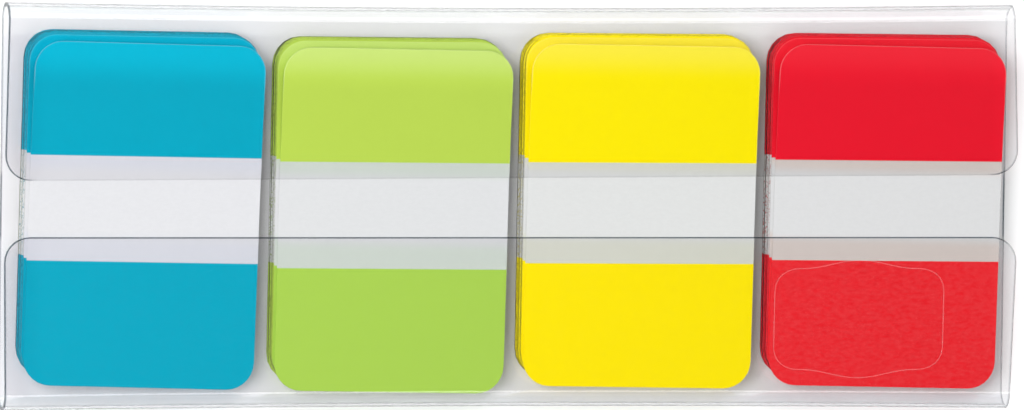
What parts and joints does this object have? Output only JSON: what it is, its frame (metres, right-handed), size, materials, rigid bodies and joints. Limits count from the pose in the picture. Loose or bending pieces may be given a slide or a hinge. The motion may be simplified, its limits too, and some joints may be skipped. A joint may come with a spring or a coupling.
{
  "type": "sticky index tab pack",
  "caption": "Flat clear dispenser rolled from one sheet, with pads of coloured film index tabs side by side in it.",
  "frame": {"origin": "centre of the dispenser's outline, on the underside of its back panel", "axes": "+X along the row of pads, +Y toward the coloured ends of the top tabs, +Z out of the front"},
  "size_m": [0.1122, 0.044, 0.0047],
  "materials": {
    "clear_sheet": "clear gloss sheet",
    "label_film": "clear gloss film",
    "blue_film": "satin film, clear at its sticky end",
    "green_film": "satin film, clear at its sticky end",
    "yellow_film": "satin film, clear at its sticky end",
    "red_film": "satin film, clear at its sticky end"
  },
  "bodies": {
    "root": {"dispenser": "clear_sheet", "clear_label": "label_film", "blue_stack": "blue_film", "blue_under_tab": "blue_film", "blue_top_tab": "blue_film", "green_stack": "green_film", "green_under_tab": "green_film", "green_top_tab": "green_film", "yellow_stack": "yellow_film", "yellow_under_tab": "yellow_film", "yellow_top_tab": "yellow_film", "red_stack": "red_film", "red_under_tab": "red_film", "red_top_tab": "red_film"}
  },
  "joints": []
}
